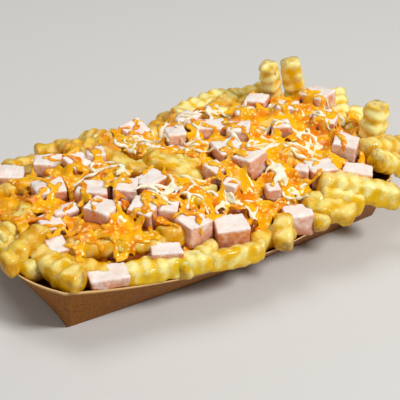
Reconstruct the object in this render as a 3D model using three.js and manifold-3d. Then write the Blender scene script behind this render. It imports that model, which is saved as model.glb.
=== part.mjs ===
// Loaded fries with ham in a folded board food tray.
// Crinkle-cut fries heaped above the rim, with ham dice, melted cheddar and white cheese shreds.
// Millimetres, +Z up, origin on the table under the middle of the tray, long side along X.
import * as THREE from 'three';
import { ConvexGeometry } from 'three/addons/geometries/ConvexGeometry.js';
import { mergeVertices } from 'three/addons/utils/BufferGeometryUtils.js';
import Module from 'manifold-3d';

const wasm = await Module();
wasm.setup();

// Tray: a flat base panel, four flared walls that bow outwards, long rims that dip in the middle
const BASE_HALF_X = 95;
const BASE_HALF_Y = 49;
const BASE_BOW = 2.2;
const RIM_HALF_X = 99;
const RIM_HALF_Y = 56.5;
const LONG_RIM_BOW = 13;
const SHORT_RIM_BOW = 16;
const CORNER_HEIGHT = 28;
const LONG_RIM_DIP = 8.5;
const BOARD = 0.8;
const LONG_STEPS = 16;
const SHORT_STEPS = 10;
const WALL_RINGS = 3;

// Heap: height of its outline over the tray, and the bare core under the top layer
const HEAP_EDGE = 21;
const HEAP_RISE = 25;
const HEAP_HALF_X = 122;
const HEAP_HALF_Y = 68;
const LEFT_FULLNESS = 2.6;
const RIGHT_FULLNESS = 8;
const NEAR_FULLNESS = 3;
const FAR_FULLNESS = 2.1;
const TOP_LAYER = 9;
const EDGE_LAYER = 4;
const CORE_RINGS = 6;
const CORE_FILL = 0.75;
const GAP = 0.35;
const HEAP_SMOOTHING = 0.12;
const HAM_SMOOTHING = 0.04;
const TOUCH = 0.001;
const NOTCH = 1.4;

// Crinkle-cut fry
const CRINKLE_PITCH = 8;
const CRINKLE_DEPTH = 0.09;
const FRY_THICK = 11;
const FRY_LONG = 58;
const FRY_SINK = 1.5;
const FRY_CORNER = 1.3;
const FRY_END = 0.84;
const FRY_TWIST = 36;
const FRY_BEND = 0.1;
const LIE_SPREAD = 0.15;
const RIM_BITE = 0.5;
const FILLER_PROUD = -2;

// Filler fries lie on a jittered grid wherever no other fry or ham is close
const FILLER_PITCH_X = 21;
const FILLER_PITCH_Y = 17;
const FILLER_HALF_X = 108;
const FILLER_HALF_Y = 58;
const FILLER_CLEAR = 9;
const SHORTEST_FILLER = 18;
const FILLER_REACH = 0.85;

// How much a corner of a ham die may fall short of the full block
const HAM_UNEVEN = 0.16;

// Cheese
const SHRED_COUNT = 30;
const SHRED_LONG = 17;
const SHRED_WIDE = 2.4;
const SHRED_TOP = 1.3;
const SHRED_SINK = 1.5;
const SHRED_STEPS = 3;
const SHREDS_AT = [26, -14];
const SHREDS_REACH = [62, 40];
const CHEDDAR_COUNT = 5;
const CHEDDAR_SIDES = 9;
const CHEDDAR_WIDE = 13;
const CHEDDAR_THICK = 2.4;
const CHEDDAR_SINK = 3;
const CHEDDAR_FIRST_X = -70;
const CHEDDAR_LAST_X = 80;
const CHEDDAR_Y = -12;
const CHEDDAR_SPREAD_Y = 44;

const TURN = Math.PI / 180;
const clamp = THREE.MathUtils.clamp;

// A repeatable draw from 0 to 1 for item k of series i
function draw(k, i) {
  const wave = Math.sin(12.9898 * (k + 1) + 78.233 * (i + 1)) * 43758.5453;
  return wave - Math.floor(wave);
}

// Fries that show, in the order they lie: middle, yaw, length, thickness, and height or pitch if set
const FRIES = [
  { at: [-62, 58], yaw: 6, long: 36, thick: 10.5 },
  { at: [-10, 60], yaw: -12, long: 40, thick: 11 },
  { at: [13, 53], yaw: 26, long: 34, thick: 10.5 },
  { at: [79, 57], yaw: -14, long: 34, thick: 11 },
  { at: [-84, 46], yaw: -16, long: 36, thick: 10.5 },
  { at: [-84, 28], yaw: -24, long: 50, thick: 11 },
  { at: [-104, 10], yaw: -82, long: 54, thick: 11 },
  { at: [-40, 53], yaw: -28, long: 42, thick: 11 },
  { at: [-97, -3], yaw: 28, long: 34, thick: 11.5 },
  { at: [-107, -16], yaw: -78, long: 44, thick: 11.5 },
  { at: [-104, -24], yaw: 22, long: 30, thick: 11 },
  { at: [-94, -42], yaw: -76, long: 44, thick: 13, z: 29 },
  { at: [-82, -45], yaw: -38, long: 30, thick: 11.5 },
  { at: [-62, -40], yaw: -20, long: 50, thick: 12 },
  { at: [-46, -61], yaw: -13, long: 48, thick: 12, z: 24 },
  { at: [-31, 14], yaw: -78, long: 40, thick: 11.5 },
  { at: [-46, 8], yaw: -42, long: 30, thick: 10 },
  { at: [-10, -8], yaw: -58, long: 34, thick: 13 },
  { at: [-15, -25], yaw: -75, long: 30, thick: 12 },
  { at: [-69, -29], yaw: 118, long: 26, thick: 10 },
  { at: [-31, -48], yaw: -8, long: 24, thick: 10 },
  { at: [-22, 30], yaw: 24, long: 36, thick: 11 },
  { at: [46, 55], yaw: 13, long: 44, thick: 13, z: 31 },
  { at: [52, 36], yaw: 168, long: 38, thick: 11 },
  { at: [78, 46], yaw: -38, long: 34, thick: 11 },
  { at: [16, 38], yaw: -16, long: 36, thick: 11 },
  { at: [110, 6], yaw: 62, long: 34, thick: 12, z: 35, pitch: 12 },
  { at: [110, -10], yaw: 50, long: 32, thick: 12, z: 32, pitch: 12 },
  { at: [110, -38], yaw: 5, long: 40, thick: 12, z: 30 },
  { at: [107, -50], yaw: -3, long: 34, thick: 11.5, z: 28 },
  { at: [60, -61], yaw: -29, long: 26, thick: 11, z: 26 },
  { at: [72, -61], yaw: -34, long: 46, thick: 13, z: 29.5 },
  { at: [50, -64], yaw: -34, long: 30, thick: 11.5 },
  { at: [44, -62], yaw: 70, long: 22, thick: 10 },
  { at: [14, -62], yaw: 2, long: 26, thick: 11.5 },
  { at: [20, -66], yaw: 58, long: 20, thick: 10 },
  { at: [-12, -67], yaw: -10, long: 38, thick: 10 },
  { at: [-30, -63], yaw: 12, long: 28, thick: 10.5 },
  { at: [84, 38], yaw: 200, long: 46, thick: 10.5, z: 38, pitch: 78 },
  { at: [100, 36], yaw: 165, long: 44, thick: 12, z: 38, pitch: 76 },
  { at: [107, -28], yaw: 20, long: 42, thick: 13.5, z: 37, pitch: 84 },
];

// Ham dice: middle, yaw, sizes along, across and up, top over the heap's outline, and tilt
const HAM = [
  { at: [-83, 43], yaw: -34, size: [20, 13, 13], up: 5 },
  { at: [-63, 35], yaw: -30, size: [16, 12, 12], up: 5 },
  { at: [-52, 22], yaw: 10, size: [12, 12, 13], up: 4, tilt: 12 },
  { at: [-41, 22], yaw: -22, size: [11, 11, 12], up: 4, tilt: -8 },
  { at: [-74, 10], yaw: -12, size: [17, 16, 16], up: 4 },
  { at: [-75, -10], yaw: -8, size: [14, 9, 10], up: 2 },
  { at: [-85, -14], yaw: -2, size: [11, 14, 15], up: 4, tilt: 6 },
  { at: [-89, -29], yaw: -4, size: [11, 13, 14], up: 3, tilt: 6 },
  { at: [-60, -22], yaw: -56, size: [15, 15, 15], up: 4 },
  { at: [-57, -6], yaw: -38, size: [16, 13, 12], up: 3 },
  { at: [-43, -14], yaw: -34, size: [13, 12, 12], up: 3 },
  { at: [-29, -15], yaw: 16, size: [17, 13, 13], up: 2 },
  { at: [-42, -32], yaw: -60, size: [15, 11, 15], up: 3, tilt: 10 },
  { at: [-31, -36], yaw: -34, size: [12, 11, 12], up: 2 },
  { at: [-24, -49], yaw: 6, size: [15, 15, 16], up: 4 },
  { at: [-44, -57], yaw: -25, size: [16, 10, 10], up: 4 },
  { at: [-75, -55], yaw: -16, size: [20, 13, 9], up: 1 },
  { at: [-5, 45], yaw: 8, size: [15, 14, 15], up: 4, tilt: 6 },
  { at: [6, 18], yaw: -14, size: [11, 11, 13], up: 3 },
  { at: [26, 14], yaw: -26, size: [17, 11, 12], up: 3 },
  { at: [37, 3], yaw: -36, size: [13, 12, 12], up: 3 },
  { at: [52, 18], yaw: -30, size: [12, 10, 12], up: 3 },
  { at: [22, -10], yaw: -6, size: [15, 14, 13], up: 2 },
  { at: [27, -24], yaw: 18, size: [16, 13, 13], up: 4, tilt: -8 },
  { at: [5, -23], yaw: 10, size: [9, 10, 13], up: 3, tilt: 10 },
  { at: [60, -5], yaw: -20, size: [11, 8, 12], up: 2 },
  { at: [-6, -56], yaw: -16, size: [18, 14, 16], up: 4, tilt: 4 },
  { at: [32, -61], yaw: -22, size: [16, 12, 13], up: 5 },
  { at: [99, 13], yaw: 14, size: [16, 16, 14], up: 8, tilt: -6 },
  { at: [86, -11], yaw: -50, size: [14, 14, 17], up: 4 },
  { at: [84, -33], yaw: -50, size: [14, 14, 16], up: 3 },
  { at: [79, -51], yaw: -44, size: [17, 11, 11], up: 3 },
  { at: [59, -44], yaw: -14, size: [16, 14, 12], up: 3, tilt: -4 },
  { at: [49, -41], yaw: -50, size: [8, 8, 10], up: 2 },
  { at: [76, 10], yaw: -40, size: [13, 11, 12], up: 3 },
  { at: [27, -45], yaw: -20, size: [8, 8, 10], up: 2 },
  { at: [7, -36], yaw: 30, size: [8, 8, 10], up: 2 },
  { at: [-34, -25], yaw: 20, size: [8, 7, 10], up: 2 },
  { at: [-103, 34], yaw: 24, size: [14, 13, 13], up: 6 },
  { at: [68, 30], yaw: -50, size: [13, 12, 13], up: 4 },
  { at: [24, 34], yaw: 32, size: [14, 12, 13], up: 3 },
];

// Share of its full rise that the heap has over a point of the table
function heapShare(x, y) {
  const fullnessX = x < 0 ? LEFT_FULLNESS : RIGHT_FULLNESS;
  const fullnessY = y < 0 ? NEAR_FULLNESS : FAR_FULLNESS;
  const alongX = clamp(1 - Math.abs(x / HEAP_HALF_X) ** fullnessX, 0, 1);
  const alongY = clamp(1 - Math.abs(y / HEAP_HALF_Y) ** fullnessY, 0, 1);
  return alongX * alongY;
}

function heapTop(x, y) {
  return HEAP_EDGE + HEAP_RISE * heapShare(x, y);
}

// The core's top lies a layer of food lower, and that layer thins towards the rim
function coreTop(x, y) {
  const share = heapShare(x, y);
  return HEAP_EDGE + HEAP_RISE * share - THREE.MathUtils.lerp(EDGE_LAYER, TOP_LAYER, share);
}

// Point of the tray's outer wall: side 0..3 anticlockwise from the near one, u from -1 to 1 along it,
// h from 0 at the base to 1 at the rim, moved in by inset across the wall
function wallPoint(side, u, h, inset) {
  const bulge = 1 - u * u;
  const isLong = side % 2 === 0;
  const baseAlong = isLong ? BASE_HALF_X : BASE_HALF_Y;
  const rimAlong = isLong ? RIM_HALF_X : RIM_HALF_Y;
  const baseOut = isLong ? BASE_HALF_Y + BASE_BOW * bulge : BASE_HALF_X;
  const rimOut = isLong
    ? RIM_HALF_Y + LONG_RIM_BOW * bulge
    : RIM_HALF_X + SHORT_RIM_BOW * (1 - Math.abs(u) ** 3);
  const along = u * (THREE.MathUtils.lerp(baseAlong, rimAlong, h) - inset);
  const out = THREE.MathUtils.lerp(baseOut, rimOut, h) - inset;
  const z = h * (CORNER_HEIGHT - (isLong ? LONG_RIM_DIP * bulge : 0));
  const turn = [[along, -out], [out, along], [-along, out], [-out, -along]][side];
  return new THREE.Vector3(turn[0], turn[1], z);
}

// Closed ring of points once round the tray at wall height h
function wallRing(h, inset) {
  const ring = [];
  for (let side = 0; side < 4; side += 1) {
    const steps = side % 2 === 0 ? LONG_STEPS : SHORT_STEPS;
    for (let i = 0; i < steps; i += 1) {
      ring.push(wallPoint(side, -1 + (2 * i) / steps, h, inset));
    }
  }
  return ring;
}

// Closed solid through a stack of rings of equal count, with a centre point at each end
function ringSolid(rings, bottomCentre, topCentre) {
  const count = rings[0].length;
  const points = rings.flat().concat([bottomCentre, topCentre]);
  const faces = [];
  for (let j = 0; j < rings.length - 1; j += 1) {
    for (let i = 0; i < count; i += 1) {
      const a = j * count + i;
      const b = j * count + ((i + 1) % count);
      faces.push(a, b, b + count, a, b + count, a + count);
    }
  }
  const last = (rings.length - 1) * count;
  const bottom = points.length - 2;
  for (let i = 0; i < count; i += 1) {
    faces.push(bottom, (i + 1) % count, i);
    faces.push(bottom + 1, last + i, last + ((i + 1) % count));
  }
  return makeGeometry(points, faces);
}

function makeGeometry(points, faces) {
  const geometry = new THREE.BufferGeometry();
  const numbers = points.flatMap((p) => [p.x, p.y, p.z]);
  geometry.setAttribute('position', new THREE.Float32BufferAttribute(numbers, 3));
  geometry.setIndex(faces);
  return geometry;
}

function toSolid(geometry) {
  const bare = geometry.clone();
  bare.deleteAttribute('normal');
  bare.deleteAttribute('uv');
  const merged = mergeVertices(bare, 1e-4);
  return new wasm.Manifold(new wasm.Mesh({
    numProp: 3,
    vertProperties: new Float32Array(merged.attributes.position.array),
    triVerts: new Uint32Array(merged.index.array),
  }));
}

function toGeometry(solid) {
  const mesh = solid.getMesh();
  const geometry = new THREE.BufferGeometry();
  geometry.setAttribute('position', new THREE.BufferAttribute(mesh.vertProperties, 3));
  geometry.setIndex(new THREE.BufferAttribute(mesh.triVerts, 1));
  return geometry;
}

// The solid with a small notch wherever two of its faces only touch, as thin food never does
function partTouches(solid) {
  const places = solid.getMesh().vertProperties;
  const seen = new Set();
  let parted = solid;
  for (let i = 0; i < places.length; i += 3) {
    const place = Array.from(places.subarray(i, i + 3));
    const key = place.map((v) => Math.round(v / TOUCH)).join();
    if (seen.has(key)) {
      const notch = new THREE.BoxGeometry(NOTCH, NOTCH, NOTCH).rotateX(0.5).rotateY(0.3);
      parted = parted.subtract(toSolid(notch.translate(...place)));
    }
    seen.add(key);
  }
  return parted;
}

// The solid with flat faces merged, and without any loose scrap that a cut has left beside it
function tidySolid(solid, smoothing) {
  const bodies = partTouches(solid.asOriginal().simplify(smoothing)).decompose();
  return bodies.sort((a, b) => b.volume() - a.volume())[0];
}

// The tray's shell, with every face moved out by grow
function trayGeometry(grow) {
  const rings = [];
  for (let j = 0; j < WALL_RINGS; j += 1) rings.push(wallRing(j / (WALL_RINGS - 1), -grow));
  rings[0].forEach((p) => { p.z -= grow; });
  rings[WALL_RINGS - 1].forEach((p) => { p.z += grow; });
  for (let j = WALL_RINGS - 1; j >= 0; j -= 1) {
    const ring = wallRing(j / (WALL_RINGS - 1), BOARD + grow);
    if (j === WALL_RINGS - 1) ring.forEach((p) => { p.z += grow; });
    if (j === 0) ring.forEach((p) => { p.z = BOARD + grow; });
    rings.push(ring);
  }
  const under = new THREE.Vector3(0, 0, -grow);
  const inside = new THREE.Vector3(0, 0, BOARD + grow);
  return ringSolid(rings, under, inside);
}

// Wall height share at which the tray is as far out as the point (x, y), below 0 over the base panel
function wallShare(x, y) {
  const u = clamp(x / RIM_HALF_X, -1, 1);
  const v = clamp(y / RIM_HALF_Y, -1, 1);
  const longBase = BASE_HALF_Y + BASE_BOW * (1 - u * u);
  const longRim = RIM_HALF_Y + LONG_RIM_BOW * (1 - u * u);
  const shortRim = RIM_HALF_X + SHORT_RIM_BOW * (1 - Math.abs(v) ** 3);
  const acrossLong = (Math.abs(y) - longBase) / (longRim - longBase);
  const acrossShort = (Math.abs(x) - BASE_HALF_X) / (shortRim - BASE_HALF_X);
  return Math.max(acrossLong, acrossShort);
}

function rimHeight(x, y) {
  const u = clamp(x / RIM_HALF_X, -1, 1);
  const onLongSide = Math.abs(y) / RIM_HALF_Y > Math.abs(x) / RIM_HALF_X;
  return CORNER_HEIGHT - (onLongSide ? LONG_RIM_DIP * (1 - u * u) : 0);
}

// Height maps of the tray alone and of the heap as it grows, on a square grid
const CELL = 2;
const MAP_HALF_X = 150;
const MAP_HALF_Y = 100;
const COLUMNS = (2 * MAP_HALF_X) / CELL + 1;
const ROWS = (2 * MAP_HALF_Y) / CELL + 1;
const trayMap = new Float64Array(COLUMNS * ROWS);
const heapMap = new Float64Array(COLUMNS * ROWS);

function cellIndex(x, y) {
  const i = clamp(Math.round((x + MAP_HALF_X) / CELL), 0, COLUMNS - 1);
  const j = clamp(Math.round((y + MAP_HALF_Y) / CELL), 0, ROWS - 1);
  return j * COLUMNS + i;
}

for (let j = 0; j < ROWS; j += 1) {
  for (let i = 0; i < COLUMNS; i += 1) {
    const x = i * CELL - MAP_HALF_X;
    const y = j * CELL - MAP_HALF_Y;
    const share = wallShare(x, y);
    const inside = share < 1.05;
    const board = inside ? Math.max(BOARD, share * rimHeight(x, y)) - RIM_BITE : 0;
    trayMap[j * COLUMNS + i] = board;
    heapMap[j * COLUMNS + i] = inside ? Math.max(board, coreTop(x, y)) : 0;
  }
}

// The line that a straight fry would rest on: its height at the fry's middle and its slope
function restingLine(map, fry) {
  const cos = Math.cos(fry.yaw * TURN);
  const sin = Math.sin(fry.yaw * TURN);
  const steps = Math.ceil(fry.long / CELL / 2);
  const reach = [];
  for (let k = -steps; k <= steps; k += 1) {
    const s = (k * fry.long) / 2 / steps;
    let high = 0;
    for (let side = -2; side <= 2; side += 1) {
      const t = side * 0.2 * fry.thick;
      const x = fry.at[0] + s * cos - t * sin;
      const y = fry.at[1] + s * sin + t * cos;
      high = Math.max(high, map[cellIndex(x, y)]);
    }
    reach.push([s, high]);
  }
  const half = fry.long / 2;
  const frontTop = heapTop(fry.at[0] + half * cos, fry.at[1] + half * sin);
  const backTop = heapTop(fry.at[0] - half * cos, fry.at[1] - half * sin);
  const mound = (frontTop - backTop) / fry.long;
  let height = -1;
  let slope = 0;
  for (const [s0, h0] of reach) {
    for (const [s1, h1] of reach) {
      if (s0 < 0 && s1 > 0) {
        const crossing = (h0 * s1 - h1 * s0) / (s1 - s0);
        if (crossing > height) {
          height = crossing;
          slope = (h1 - h0) / (s1 - s0);
        }
      }
    }
  }
  const lie = clamp(slope, mound - LIE_SPREAD, mound + LIE_SPREAD);
  if (lie !== slope) height = Math.max(...reach.map(([s, h]) => h - lie * s));
  return { height, lie };
}

// Gives a fry its height and slope, no higher than the heap's outline allows, and raises the map
function layFry(fry) {
  const placed = { ...fry };
  const top = heapTop(fry.at[0], fry.at[1]) + (fry.proud ?? 0);
  if (fry.pitch === undefined) {
    const onHeap = restingLine(heapMap, fry);
    const onTray = restingLine(trayMap, fry);
    const wanted = fry.z === undefined ? top - fry.thick : fry.z - fry.thick / 2;
    const under = Math.max(Math.min(onHeap.height - FRY_SINK, wanted), onTray.height - FRY_SINK);
    placed.z = under + fry.thick / 2;
    placed.lie = under > wanted ? onTray.lie : onHeap.lie;
    const cos = Math.cos(fry.yaw * TURN);
    const sin = Math.sin(fry.yaw * TURN);
    for (let s = -fry.long / 2; s <= fry.long / 2; s += CELL / 2) {
      for (let t = -fry.thick / 2; t <= fry.thick / 2; t += CELL / 2) {
        const cell = cellIndex(fry.at[0] + s * cos - t * sin, fry.at[1] + s * sin + t * cos);
        const round = 1 - 0.25 * (2 * t / fry.thick) ** 2;
        heapMap[cell] = Math.max(heapMap[cell], under + placed.lie * s + fry.thick * round);
      }
    }
  } else {
    placed.lie = Math.tan(fry.pitch * TURN);
  }
  return placed;
}

// A crinkle-cut fry: a four-sided bar whose section swells and shrinks along its length
function fryGeometry(fry, k) {
  const steps = Math.max(4, Math.round(fry.long / (CRINKLE_PITCH / 2)));
  const along = new THREE.Vector3(1, 0, fry.lie).normalize();
  const across = new THREE.Vector3(0, 1, 0);
  const up = new THREE.Vector3().crossVectors(along, across);
  const twist = (draw(k, 3) - 0.5) * FRY_TWIST * TURN;
  const bend = (draw(k, 4) - 0.5) * FRY_BEND * fry.long;
  const rings = [];
  for (let i = 0; i <= steps; i += 1) {
    const s = fry.long * (i / steps - 0.5);
    const end = i === 0 || i === steps ? FRY_END : 1;
    const half = (fry.thick / 2) * end * (1 + CRINKLE_DEPTH * (i % 2 === 0 ? 1 : -1));
    const ring = [];
    for (let corner = 0; corner < 4; corner += 1) {
      const angle = (corner + 0.5) * 90 * TURN + twist;
      const radius = half * FRY_CORNER;
      const side = radius * Math.cos(angle) + bend * (4 * (s / fry.long) ** 2 - 0.5);
      const lift = radius * Math.sin(angle);
      ring.push(new THREE.Vector3()
        .addScaledVector(along, s)
        .addScaledVector(across, side)
        .addScaledVector(up, lift));
    }
    rings.push(ring);
  }
  const first = new THREE.Vector3();
  const last = new THREE.Vector3();
  rings[0].forEach((p) => first.addScaledVector(p, 0.25));
  rings[steps].forEach((p) => last.addScaledVector(p, 0.25));
  const geometry = ringSolid(rings, first, last);
  geometry.rotateZ(fry.yaw * TURN);
  geometry.translate(fry.at[0], fry.at[1], fry.z);
  return geometry;
}

// A ham die: the hull of a slightly uneven block, turned, tilted and grown by grow on every side
function hamGeometry(ham, k, grow) {
  const corners = [];
  for (let c = 0; c < 8; c += 1) {
    const sign = [c & 1 ? 1 : -1, c & 2 ? 1 : -1, c & 4 ? 1 : -1];
    const uneven = sign.map((s, axis) => {
      const half = (ham.size[axis] / 2) * (1 - HAM_UNEVEN * draw(8 * k + c, 10 + axis));
      return s * (half + grow);
    });
    corners.push(new THREE.Vector3(...uneven));
  }
  const geometry = new ConvexGeometry(corners);
  geometry.rotateX((ham.tilt ?? 0) * TURN);
  geometry.rotateZ(ham.yaw * TURN);
  const top = heapTop(ham.at[0], ham.at[1]) + ham.up;
  geometry.translate(ham.at[0], ham.at[1], top - ham.size[2] / 2);
  return geometry;
}

// The bare core: it fills the tray up to the wall and rises to the underside of the top layer
function coreGeometry() {
  const rings = [];
  const edge = wallRing(CORE_FILL, BOARD + GAP);
  const foot = wallRing(0, BOARD + 2 * GAP);
  foot.forEach((p) => { p.z = BOARD + GAP; });
  rings.push(foot, edge);
  for (let j = 1; j < CORE_RINGS; j += 1) {
    const share = 1 - j / CORE_RINGS;
    rings.push(edge.map((p) => {
      const x = p.x * share;
      const y = p.y * share;
      return new THREE.Vector3(x, y, Math.max(p.z, coreTop(x, y)));
    }));
  }
  const crown = new THREE.Vector3(0, 0, coreTop(0, 0));
  return ringSolid(rings, new THREE.Vector3(0, 0, BOARD + GAP), crown);
}

// Height of the heap smoothed over the patch that a bit of melted cheese spans
function surfaceAt(x, y) {
  let sum = 0;
  for (let i = -2; i <= 2; i += 1) {
    for (let j = -2; j <= 2; j += 1) sum += heapMap[cellIndex(x + i * CELL, y + j * CELL)];
  }
  return sum / 25;
}

// A shred of cheese: a thin flat strip that follows the heap's surface
function shredGeometry(k) {
  const angle = draw(k, 20) * Math.PI * 2;
  const spread = Math.sqrt(draw(k, 21));
  const x0 = SHREDS_AT[0] + SHREDS_REACH[0] * spread * Math.cos(angle);
  const y0 = SHREDS_AT[1] + SHREDS_REACH[1] * spread * Math.sin(angle);
  const yaw = draw(k, 22) * Math.PI;
  const curl = (draw(k, 23) - 0.5) * 0.12;
  const long = SHRED_LONG * (0.7 + 0.6 * draw(k, 24));
  const rings = [];
  for (let i = 0; i <= SHRED_STEPS; i += 1) {
    const s = long * (i / SHRED_STEPS - 0.5);
    const turn = yaw + curl * s;
    const x = x0 + s * Math.cos(turn);
    const y = y0 + s * Math.sin(turn);
    const z = surfaceAt(x, y);
    const ring = [[-1, -1], [1, -1], [1, 1], [-1, 1]].map(([side, lift]) => new THREE.Vector3(
      x - side * (SHRED_WIDE / 2) * Math.sin(turn),
      y + side * (SHRED_WIDE / 2) * Math.cos(turn),
      z + (lift > 0 ? SHRED_TOP : -SHRED_SINK),
    ));
    rings.push(ring);
  }
  const first = new THREE.Vector3();
  const last = new THREE.Vector3();
  rings[0].forEach((p) => first.addScaledVector(p, 0.25));
  rings[SHRED_STEPS].forEach((p) => last.addScaledVector(p, 0.25));
  return ringSolid(rings, first, last);
}

// A pool of melted cheddar: a low cushion with a wavy outline that follows the heap's surface
function cheddarGeometry(k) {
  const x0 = THREE.MathUtils.lerp(CHEDDAR_FIRST_X, CHEDDAR_LAST_X, k / (CHEDDAR_COUNT - 1));
  const y0 = CHEDDAR_Y + CHEDDAR_SPREAD_Y * (draw(k, 31) - 0.5);
  const ring = (share, lift) => {
    const points = [];
    for (let i = 0; i < CHEDDAR_SIDES; i += 1) {
      const angle = (i * 2 * Math.PI) / CHEDDAR_SIDES;
      const radius = CHEDDAR_WIDE * share * (1 + 0.3 * Math.sin(3 * angle + 6 * draw(k, 32)));
      const x = x0 + radius * Math.cos(angle);
      const y = y0 + radius * Math.sin(angle);
      points.push(new THREE.Vector3(x, y, surfaceAt(x, y) + lift));
    }
    return points;
  };
  const rings = [ring(0.8, -CHEDDAR_SINK), ring(1, 0.2), ring(0.7, 0.8 * CHEDDAR_THICK)];
  const under = new THREE.Vector3(x0, y0, surfaceAt(x0, y0) - CHEDDAR_SINK);
  const crown = new THREE.Vector3(x0, y0, surfaceAt(x0, y0) + CHEDDAR_THICK);
  return ringSolid(rings, under, crown);
}

// True where a point along a fry is inside the rim and clear of all the ham
function isFree(x, y, yaw, along) {
  const px = x + along * Math.cos(yaw * TURN);
  const py = y + along * Math.sin(yaw * TURN);
  const clear = HAM.every(({ at, size }) => {
    const apart = Math.hypot(at[0] - px, at[1] - py);
    return apart > (size[0] + FRY_THICK) / 2;
  });
  return clear && wallShare(px, py) < FILLER_REACH;
}

// Filler fries: one to each grid point that no shown fry is near, shortened where ham stands in the way
function fillerFries() {
  const fillers = [];
  const columns = Math.round(FILLER_HALF_X / FILLER_PITCH_X);
  const rows = Math.round(FILLER_HALF_Y / FILLER_PITCH_Y);
  for (let i = -columns; i <= columns; i += 1) {
    for (let j = -rows; j <= rows; j += 1) {
      const k = (i + columns) * 16 + j + rows;
      const x = (i + 0.6 * (draw(k, 1) - 0.5)) * FILLER_PITCH_X;
      const y = (j + 0.6 * (draw(k, 2) - 0.5)) * FILLER_PITCH_Y;
      const yaw = 180 * draw(k, 7);
      const reach = (FRY_LONG / 2) * (0.6 + 0.4 * draw(k, 5));
      const thick = FRY_THICK * (0.9 + 0.2 * draw(k, 6));
      const isNear = FRIES.some(({ at }) => Math.hypot(at[0] - x, at[1] - y) < FILLER_CLEAR);
      let ahead = 0;
      let behind = 0;
      while (ahead < reach && isFree(x, y, yaw, ahead)) ahead += CELL;
      while (behind < reach && isFree(x, y, yaw, -behind)) behind += CELL;
      const long = ahead + behind;
      if (!isNear && long > SHORTEST_FILLER) {
        const shift = (ahead - behind) / 2;
        const at = [x + shift * Math.cos(yaw * TURN), y + shift * Math.sin(yaw * TURN)];
        fillers.push({ at, yaw, long, thick, proud: FILLER_PROUD });
      }
    }
  }
  return fillers;
}

const board = new THREE.MeshStandardMaterial({ color: 0x9a6a3a, roughness: 0.85, metalness: 0 });
const potato = new THREE.MeshStandardMaterial({ color: 0xe8bf4a, roughness: 0.45, metalness: 0 });
const meat = new THREE.MeshStandardMaterial({ color: 0xe8b8a4, roughness: 0.4, metalness: 0 });

const object = new THREE.Group();

function addPiece(name, geometry, material) {
  const mesh = new THREE.Mesh(geometry, material);
  mesh.name = name;
  object.add(mesh);
}

// Tray
const tray = trayGeometry(0);
const trayClearance = toSolid(trayGeometry(GAP));
addPiece('tray', tray, board);

// Fries, laid from the bottom up
const fries = [...fillerFries(), ...FRIES].map(layFry);
let heap = toSolid(coreGeometry());
fries.forEach((fry, k) => { heap = heap.add(toSolid(fryGeometry(fry, k))); });
for (let k = 0; k < CHEDDAR_COUNT; k += 1) heap = heap.add(toSolid(cheddarGeometry(k)));
for (let k = 0; k < SHRED_COUNT; k += 1) heap = heap.add(toSolid(shredGeometry(k)));
heap = heap.subtract(trayClearance);

// Ham dice, each clear of the tray and of those before it; the heap keeps clear of them all
let taken = trayClearance;
HAM.forEach((ham, k) => {
  const die = toSolid(hamGeometry(ham, k, 0)).subtract(taken);
  const room = toSolid(hamGeometry(ham, k, GAP));
  taken = taken.add(room);
  heap = heap.subtract(room);
  addPiece(`ham_${String(k + 1).padStart(2, '0')}`, toGeometry(tidySolid(die, HAM_SMOOTHING)), meat);
});
addPiece('fries_heap', toGeometry(tidySolid(heap, HEAP_SMOOTHING)), potato);

export default object;
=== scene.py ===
# Loaded fries with ham in a folded board food tray: crinkle-cut fries heaped above the rim,
# ham dice, melted orange cheese and white cheese shreds. Lengths are millimetres until a mesh is made.
import math

import bpy
import numpy as np
from mathutils import Matrix, Vector


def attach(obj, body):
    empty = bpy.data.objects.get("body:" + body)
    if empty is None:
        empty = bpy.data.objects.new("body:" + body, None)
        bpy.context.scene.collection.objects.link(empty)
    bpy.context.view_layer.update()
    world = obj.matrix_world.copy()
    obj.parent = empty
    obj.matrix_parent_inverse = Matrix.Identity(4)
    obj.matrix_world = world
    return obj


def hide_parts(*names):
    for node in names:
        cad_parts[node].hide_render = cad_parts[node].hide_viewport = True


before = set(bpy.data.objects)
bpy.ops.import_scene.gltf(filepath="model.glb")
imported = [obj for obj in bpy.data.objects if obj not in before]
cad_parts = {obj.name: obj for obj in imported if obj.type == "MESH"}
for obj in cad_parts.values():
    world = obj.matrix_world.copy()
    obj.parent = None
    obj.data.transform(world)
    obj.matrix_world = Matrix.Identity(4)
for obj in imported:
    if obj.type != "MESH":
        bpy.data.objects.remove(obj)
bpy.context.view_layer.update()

MM = 0.001

# Camera
# A long lens looks down on the tray's near left corner, at the angle of the photograph.
VIEW_AZIMUTH = math.radians(-32.64)
VIEW_ELEVATION = math.radians(34.2)
VIEW_ROLL = math.radians(1.42)
VIEW_DISTANCE = 620.0
VIEW_TARGET = Vector((9.11, -3.45, 12.81))
LENS = 101.45
SENSOR = 36.0

scene = bpy.context.scene


def add_object(name, data):
    """A new object in the scene."""
    made = bpy.data.objects.new(name, data)
    scene.collection.objects.link(made)
    return made


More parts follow.
